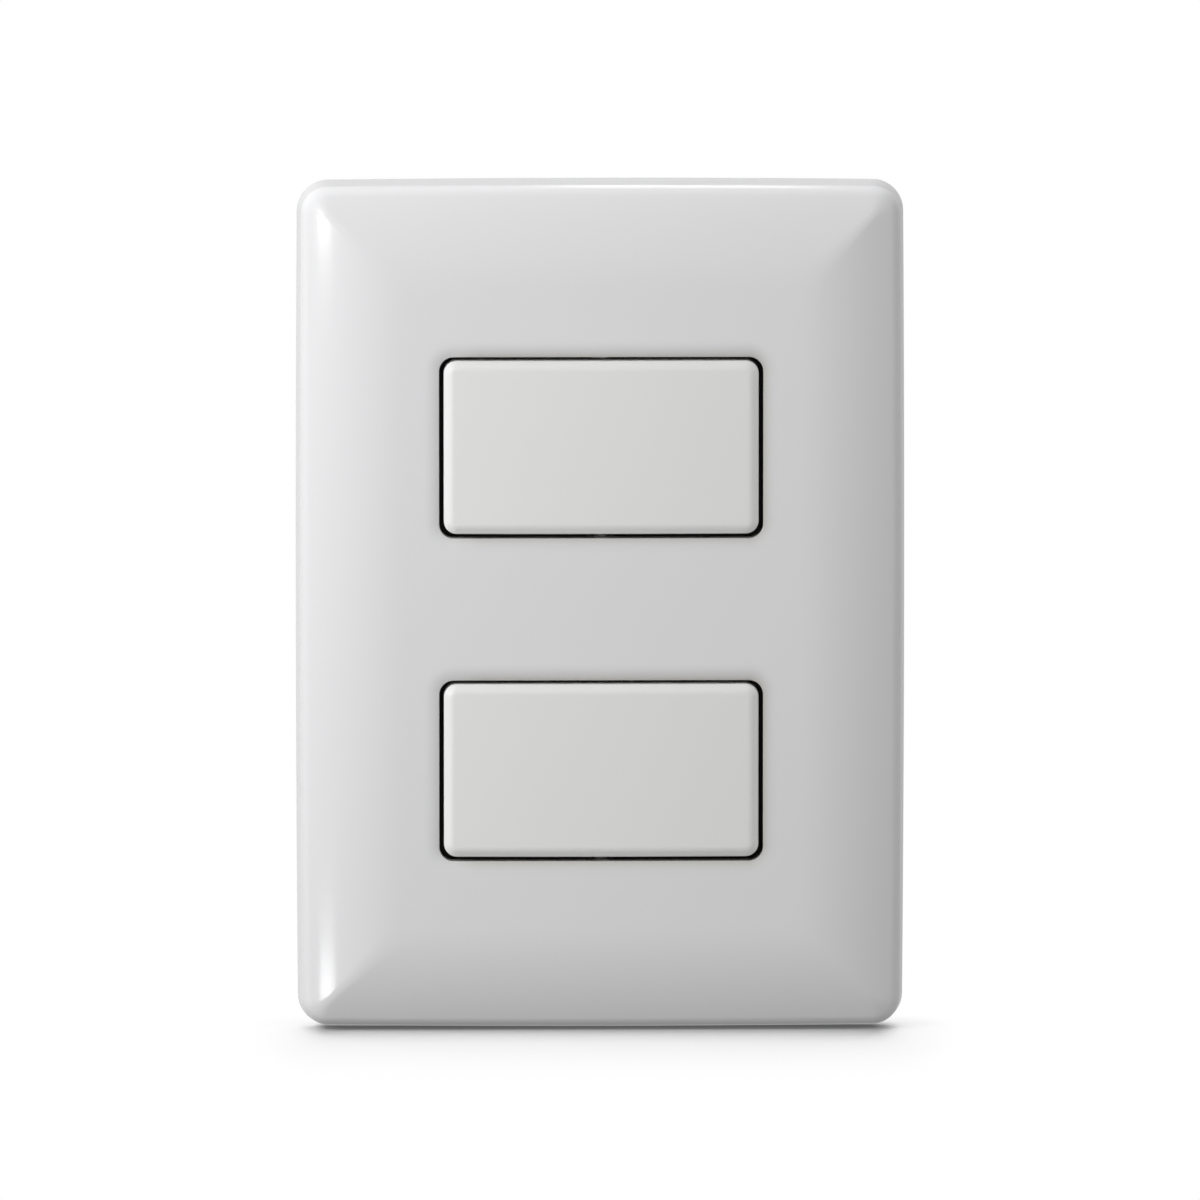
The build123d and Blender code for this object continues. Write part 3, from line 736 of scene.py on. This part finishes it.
for place in places:
    piece = makeRocker(place)
    print("rocker:", piece.name, len(piece.data.polygons), "faces")


# Screws, turned about their own axis: the seat under the head is at 0, the head in front of it

screws = {
    "box": {
        "headRadius": 3.6, "headHeight": 2.3, "headEdge": 0.5, "crown": True, "headRound": 0.12,
        "neckRadius": 1.5, "neckLength": 2.0, "length": 24.0, "tip": 0.7,
        "slotWidth": 1.0, "slotDepth": 1.1, "pitch": 0.8,
    },
    "terminal": {
        "headRadius": 3.4, "headHeight": 2.0, "headEdge": 1.3, "crown": False, "headRound": 0.12,
        "neckRadius": 1.45, "neckLength": 0.4, "length": 5.2, "tip": 0.35,
        "slotWidth": 0.9, "slotDepth": 0.9, "pitch": 0.7,
    },
}
thread = {
    "core": 1.3, "crest": 1.74, "root": 1.2, "crestShare": 0.1, "flankShare": 0.39,
    "turnSteps": 28,
}
turning = {
    "steps": 48, "domeSteps": 8, "bendSteps": 6, "neckEase": 0.3,
    "cutLimit": 0.00001, "brinkLimit": 0.0001,
}


def headStations(values):
    # (radius, forward) from under the head's edge to the middle of its front
    soft = values["headRound"]
    mid = soft * meshing["midRound"]
    radius = values["headRadius"]
    edge = values["headEdge"]
    height = values["headHeight"]
    stations = [(radius - soft, 0), (radius - mid, mid), (radius, soft), (radius, edge)]
    rise = height - edge
    if values["crown"]:
        dome = (radius**2 + rise**2) / (2 * rise)
        spread = math.asin(radius / dome)
        for step in range(1, turning["domeSteps"]):
            turn = spread * (1 - step / turning["domeSteps"])
            stations.append((dome * math.sin(turn), height - dome * (1 - math.cos(turn))))
    else:
        for step in range(1, turning["bendSteps"] + 1):
            turn = math.pi / 2 * step / turning["bendSteps"]
            stations.append((radius - rise * (1 - math.cos(turn)), edge + rise * math.sin(turn)))
    return stations + [(0, height)]


def cutSlot(bm, values):
    half = values["slotWidth"] / 2
    floor = values["headHeight"] - values["slotDepth"]
    cuts = [((0, 0, half), (0, 0, 1)), ((0, 0, -half), (0, 0, 1)), ((0, -floor, 0), (0, 1, 0))]
    for place, normal in cuts:
        whole = bm.verts[:] + bm.edges[:] + bm.faces[:]
        bmesh.ops.bisect_plane(
            bm, geom=whole, plane_co=place, plane_no=normal, dist=turning["cutLimit"]
        )
    inside = []
    for face in bm.faces:
        middle = face.calc_center_median()
        if abs(middle.z) < half and -middle.y > floor:
            inside.append(face)
    bmesh.ops.delete(bm, geom=inside, context="FACES")
    brink = {vert for edge in bm.edges if edge.is_boundary for vert in edge.verts}
    limit = turning["brinkLimit"]
    for side in (half, -half):
        wall = [vert for vert in brink if abs(vert.co.z - side) < limit]
        bmesh.ops.contextual_create(bm, geom=wall)
    base = [vert for vert in brink if abs(vert.co.y + floor) < limit]
    bmesh.ops.contextual_create(bm, geom=base)


def addThread(bm, values):
    # one closed ridge that winds along the core
    pitch = values["pitch"]
    start = -values["neckLength"] - pitch
    end = values["tip"] - values["length"]
    steps = int((start - end) / pitch * thread["turnSteps"])
    flank = thread["flankShare"] * pitch
    top = flank + thread["crestShare"] * pitch
    root = thread["root"]
    crest = thread["crest"]
    section = [(root, 0), (crest, flank), (crest, top), (root, top + flank)]
    ring = [bm.verts.new((radius, -start - forward, 0)) for radius, forward in section]
    edges = [bm.edges.new(pair) for pair in zip(ring, ring[1:] + ring[:1])]
    turned = bmesh.ops.spin(
        bm, geom=ring + edges, cent=(0, 0, 0), axis=(0, 1, 0),
        dvec=(0, pitch / thread["turnSteps"], 0),
        angle=2 * math.pi * steps / thread["turnSteps"], steps=steps,
    )["geom_last"]
    for rim in (edges, [item for item in turned if isinstance(item, bmesh.types.BMEdge)]):
        bmesh.ops.contextual_create(bm, geom=rim)


def makeScrew(kind):
    values = screws[kind]
    bm = bmesh.new()
    core = thread["core"]
    tip = values["tip"]
    tail = -values["length"]
    neck = values["neckRadius"]
    neckEnd = -values["neckLength"]
    stations = [(0, tail), (core - tip, tail), (core, tail + tip), (core, neckEnd)]
    stations += [(neck, core - neck + neckEnd + turning["neckEase"]), (neck, 0)]
    lathe(bm, stations + headStations(values), turning["steps"])
    bmesh.ops.remove_doubles(bm, verts=bm.verts, dist=meshing["mergeDistance"])
    cutSlot(bm, values)
    addThread(bm, values)
    mesh = bpy.data.meshes.new(kind + "Screw")
    bm.to_mesh(mesh)
    bm.free()
    return mesh


def placeScrews(name, mesh, turns, nodeName):
    bm = bmesh.new()
    for turn in turns:
        before = set(bm.verts)
        bm.from_mesh(mesh)
        added = [vert for vert in bm.verts if vert not in before]
        bmesh.ops.transform(bm, matrix=turn, verts=added)
    return finishPiece(name, bm, "wall_unit", "zinc_steel", [nodeName])


boxPlaces = {"seat": 2.0, "height": 41.65}
terminalPlaces = {"seat": 18.2, "forward": -11.0}
boxMesh = makeScrew("box")
terminalMesh = makeScrew("terminal")
turns = []
for end in (1, -1):
    turns.append(Matrix.Translation((0, -boxPlaces["seat"], end * boxPlaces["height"])))
piece = placeScrews("boxScrews", boxMesh, turns, "box_screws")
print("screws:", piece.name, len(piece.data.polygons), "faces")
for place, middle in places.items():
    turns = []
    for side in (1, -1):
        seat = (side * terminalPlaces["seat"], -terminalPlaces["forward"], middle)
        stand = Matrix.Translation(seat)
        aside = Matrix.Rotation(side * math.pi / 2, 4, "Z")
        turns.append(stand @ aside @ Matrix.Rotation(math.pi / 2, 4, "Y"))
    piece = placeScrews(place + "TerminalScrews", terminalMesh, turns, place + "_terminal_screws")
    print("screws:", piece.name, len(piece.data.polygons), "faces")


# Mouldings and clamp plates keep the solids' form, with their outer edges softened

softEdges = {
    "support_frame": 0.25, "bearing_frame": 0.15, "housing": 0.18, "wire_clamps": 0.15,
    "leastTurn": 40.0, "flatTurn": 1.0, "steps": 2, "mergeDistance": 0.001,
}


def softenNode(nodeName, width):
    node = frame["nodes"][nodeName]
    bm = bmesh.new()
    bm.from_mesh(node.data)
    bmesh.ops.scale(bm, vec=(1 / millimetre,) * 3, verts=bm.verts)
    bmesh.ops.remove_doubles(bm, verts=bm.verts, dist=softEdges["mergeDistance"])
    flat = math.radians(softEdges["flatTurn"])
    bmesh.ops.dissolve_limit(bm, angle_limit=flat, verts=bm.verts, edges=bm.edges)
    least = math.radians(softEdges["leastTurn"])
    outer = [edge for edge in bm.edges if edge.is_convex and edge.calc_face_angle() > least]
    bmesh.ops.bevel(
        bm, geom=outer, offset=width, segments=softEdges["steps"], profile=0.5,
        affect="EDGES", material=-1, clamp_overlap=False,
    )
    first, *others = nodeName.split("_")
    name = first + "".join(word.capitalize() for word in others)
    return finishPiece(name, bm, "wall_unit", nodeSlot[nodeName], [nodeName])


softNodes = {"support_frame": softEdges["support_frame"]}
for place in places:
    for kind in ("bearing_frame", "housing", "wire_clamps"):
        softNodes[place + "_" + kind] = softEdges[kind]
for nodeName, width in softNodes.items():
    piece = softenNode(nodeName, width)
    print("softened:", piece.name, len(piece.data.polygons), "faces")


# Floor, background, lamps and camera

# the shadow at the plate's foot: distances are ahead of it, and count more to the side and behind
stage = {
    "floorSize": 3.0, "floorColour": 0.95, "footHalf": 0.038, "sideCount": 5.0, "shadowEnd": 0.06,
    "whiteShare": (
        (0.0, 0.0), (0.16, 0.0), (0.25, 0.28), (0.34, 0.6), (0.5, 0.77), (0.88, 0.955), (1.0, 1.0),
    ),
    "contactShade": ((0.0, 0.42), (0.04, 0.5), (0.1, 0.72), (0.17, 0.92), (0.24, 1.0)),
}


def mixShaders(tree, factor, first, second):
    mix = addNode(tree, "ShaderNodeMixShader")
    for socket, source in zip(mix.inputs, (factor, first, second)):
        tree.links.new(source, socket)
    return mix.outputs[0]


def footDistance(tree):
    # 0 at the plate's foot, 1 where the floor has run out to white
    place = addNode(tree, "ShaderNodeSeparateXYZ")
    tree.links.new(addNode(tree, "ShaderNodeTexCoord").outputs["Object"], place.inputs[0])
    ahead = mathNode(tree, "DIVIDE", place.outputs["Y"], -stage["shadowEnd"])
    behind = mathNode(tree, "MULTIPLY", ahead, -stage["sideCount"])
    reach = mathNode(tree, "MAXIMUM", ahead, behind)
    aside = mathNode(tree, "ABSOLUTE", place.outputs["X"])
    aside = mathNode(tree, "SUBTRACT", aside, stage["footHalf"])
    aside = mathNode(tree, "MAXIMUM", aside, 0.0)
    aside = mathNode(tree, "MULTIPLY", aside, stage["sideCount"] / stage["shadowEnd"])
    squares = [mathNode(tree, "MULTIPLY", part, part) for part in (reach, aside)]
    return mathNode(tree, "SQRT", mathNode(tree, "ADD", *squares))


def greyRamp(tree, value, stops):
    ramp = addNode(tree, "ShaderNodeValToRGB")
    elements = ramp.color_ramp.elements
    while len(elements) < len(stops):
        elements.new(0.5)
    for element, (position, level) in zip(elements, stops):
        element.position = position
        element.color = (level, level, level, 1)
    tree.links.new(value, ramp.inputs["Fac"])
    return ramp.outputs["Color"]


def makeFloor():
    bm = bmesh.new()
    bmesh.ops.create_grid(bm, x_segments=1, y_segments=1, size=stage["floorSize"] / 2)
    bmesh.ops.translate(bm, vec=(0, 0, cadBox[0].z), verts=bm.verts)
    mesh = bpy.data.meshes.new("paleFloor")
    bm.to_mesh(mesh)
    bm.free()
    floor = bpy.data.objects.new("paleFloor", mesh)
    bpy.context.scene.collection.objects.link(floor)
    material = bpy.data.materials.new("paleFloor")
    material.use_nodes = True
    tree = material.node_tree
    tree.nodes.remove(tree.nodes["Principled BSDF"])
    paper = addNode(tree, "ShaderNodeBsdfDiffuse")
    paper.inputs["Color"].default_value = (stage["floorColour"],) * 3 + (1,)
    foot = addNode(tree, "ShaderNodeBsdfDiffuse")
    distance = footDistance(tree)
    tree.links.new(greyRamp(tree, distance, stage["contactShade"]), foot.inputs["Color"])
    white = addNode(tree, "ShaderNodeEmission")
    share = greyRamp(tree, distance, stage["whiteShare"])
    shown = mixShaders(tree, share, foot.outputs[0], white.outputs[0])
    path = addNode(tree, "ShaderNodeLightPath")
    seen = path.outputs["Is Camera Ray"]
    for ray in ("Is Glossy Ray", "Is Transmission Ray"):
        seen = mathNode(tree, "MAXIMUM", seen, path.outputs[ray])
    shown = mixShaders(tree, seen, paper.outputs[0], shown)
    # seen from below, the floor is clear
    below = addNode(tree, "ShaderNodeNewGeometry").outputs["Backfacing"]
    clear = addNode(tree, "ShaderNodeBsdfTransparent").outputs[0]
    shown = mixShaders(tree, below, shown, clear)
    tree.links.new(shown, tree.nodes["Material Output"].inputs["Surface"])
    mesh.materials.append(material)
    floor.visible_diffuse = False
    floor.visible_glossy = False
    floor.visible_shadow = False


# light from the walls of the studio, below and above, on the object and in its reflections
studio = {
    "ambientBelow": 0.28, "ambientAbove": 0.12, "mirroredBelow": 0.15, "mirroredAbove": 0.9,
    "horizonSpread": 0.5, "backdropLeft": 0.74, "backdropRight": 0.48, "backdropSpread": 0.2,
    "backdropStart": 0.5, "backdropFull": 0.95,
}


def wallLight(tree, level):
    walls = addNode(tree, "ShaderNodeBackground")
    walls.inputs["Color"].default_value = (1, 1, 1, 1)
    tree.links.new(level, walls.inputs["Strength"])
    return walls.outputs[0]


def makeWorld():
    world = bpy.data.worlds.new("studio")
    bpy.context.scene.world = world
    world.use_nodes = True
    tree = world.node_tree
    white = tree.nodes["Background"]
    white.inputs["Color"].default_value = (1, 1, 1, 1)
    parts = addNode(tree, "ShaderNodeSeparateXYZ")
    tree.links.new(addNode(tree, "ShaderNodeTexCoord").outputs["Generated"], parts.inputs[0])
    spread = studio["horizonSpread"]
    height = mapRange(tree, parts.outputs["Z"], start=-spread, end=spread, smooth=True)
    ambient = mapRange(tree, height, studio["ambientBelow"], studio["ambientAbove"])
    mirrored = mapRange(tree, height, studio["mirroredBelow"], studio["mirroredAbove"])
    behind = mapRange(
        tree, parts.outputs["Y"],
        start=studio["backdropStart"], end=studio["backdropFull"], smooth=True,
    )
    spread = studio["backdropSpread"]
    backdrop = mapRange(
        tree, parts.outputs["X"], studio["backdropLeft"], studio["backdropRight"],
        start=-spread, end=spread,
    )
    mirrored = mapRange(tree, behind, mirrored, backdrop)
    path = addNode(tree, "ShaderNodeLightPath").outputs
    shown = mixShaders(
        tree, path["Is Glossy Ray"], wallLight(tree, ambient), wallLight(tree, mirrored)
    )
    direct = mathNode(tree, "MAXIMUM", path["Is Camera Ray"], path["Is Transmission Ray"])
    shown = mixShaders(tree, direct, shown, white.outputs[0])
    tree.links.new(shown, tree.nodes["World Output"].inputs["Surface"])


# a soft lamp lights the surfaces, a sheen only shows as a reflection
lamps = {
    "keyLamp": {
        "place": (-0.325, -0.3, 0.165), "aim": (0, 0, 0), "size": (0.24, 0.3), "power": 1.48,
    },
    "sideLamp": {
        "place": (-0.34, -0.1, 0.04), "aim": (0, 0, 0), "size": (0.2, 0.3), "power": 0.29,
    },
    "topLamp": {
        "place": (-0.02, -0.09, 0.42), "aim": (0, 0, 0), "size": (0.4, 0.18), "power": 0.1,
    },
    "rimLamp": {
        "place": (0, 0.1, 0.36), "aim": (0, 0, 0.06), "size": (0.3, 0.1), "power": 0.56,
    },
    "fillLamp": {
        "place": (0.6, -0.3, 0.12), "aim": (0, 0, 0), "size": (0.4, 0.5), "power": 1.23,
    },
    "backLamp": {
        "place": (0.15, 0.55, 0.3), "aim": (0, 0, 0), "size": (0.4, 0.4), "power": 1.0,
    },
    "keySheen": {
        "place": (-0.295, -0.305, 0.14), "aim": (0, 0, 0), "size": (0.05, 0.05), "power": 0.1,
    },
    "highSheen": {
        "place": (-0.2127, -0.1852, 0.041), "aim": (-0.04, 0, 0.05), "size": (0.04, 0.012),
        "power": 0.028,
    },
    "lowSheen": {
        "place": (-0.2098, -0.1899, -0.088), "aim": (-0.04, 0, -0.05), "size": (0.04, 0.012),
        "power": 0.021,
    },
    "topSheen": {
        "place": (0.02, 0.2, 0.36), "aim": (0.02, 0, 0.06), "size": (0.045, 0.2), "power": 0.07,
    },
}


def makeLamp(name):
    values = lamps[name]
    light = bpy.data.lights.new(name, "AREA")
    light.shape = "RECTANGLE"
    light.size, light.size_y = values["size"]
    light.energy = values["power"]
    lamp = bpy.data.objects.new(name, light)
    bpy.context.scene.collection.objects.link(lamp)
    aim = Vector(values["aim"]) - Vector(values["place"])
    lamp.location = values["place"]
    lamp.rotation_euler = aim.to_track_quat("-Z", "Y").to_euler()
    lamp.visible_camera = False
    lamp.visible_diffuse = "Sheen" not in name
    lamp.visible_glossy = "Sheen" in name


view = {
    "elevation": 6.0, "turn": -1.0, "distance": 3.0, "frameWidth": 0.16755,
    "target": (0, 0, 0.0003), "sensorWidth": 36.0, "clipEnd": 20.0,
}


def makeCamera():
    data = bpy.data.cameras.new("viewCamera")
    data.sensor_width = view["sensorWidth"]
    data.lens = view["sensorWidth"] * view["distance"] / view["frameWidth"]
    data.clip_end = view["clipEnd"]
    camera = bpy.data.objects.new("viewCamera", data)
    bpy.context.scene.collection.objects.link(camera)
    rise = math.radians(view["elevation"])
    turn = math.radians(view["turn"])
    level = Vector((math.sin(turn), -math.cos(turn), 0))
    outward = math.cos(rise) * level + Vector((0, 0, math.sin(rise)))
    target = Vector(view["target"])
    camera.location = target + view["distance"] * outward
    camera.rotation_euler = (target - camera.location).to_track_quat("-Z", "Y").to_euler()
    bpy.context.scene.camera = camera


makeFloor()
makeWorld()
for lampName in lamps:
    makeLamp(lampName)
makeCamera()
bpy.context.scene.view_settings.view_transform = "Standard"
print("stage, lamps and camera ready")
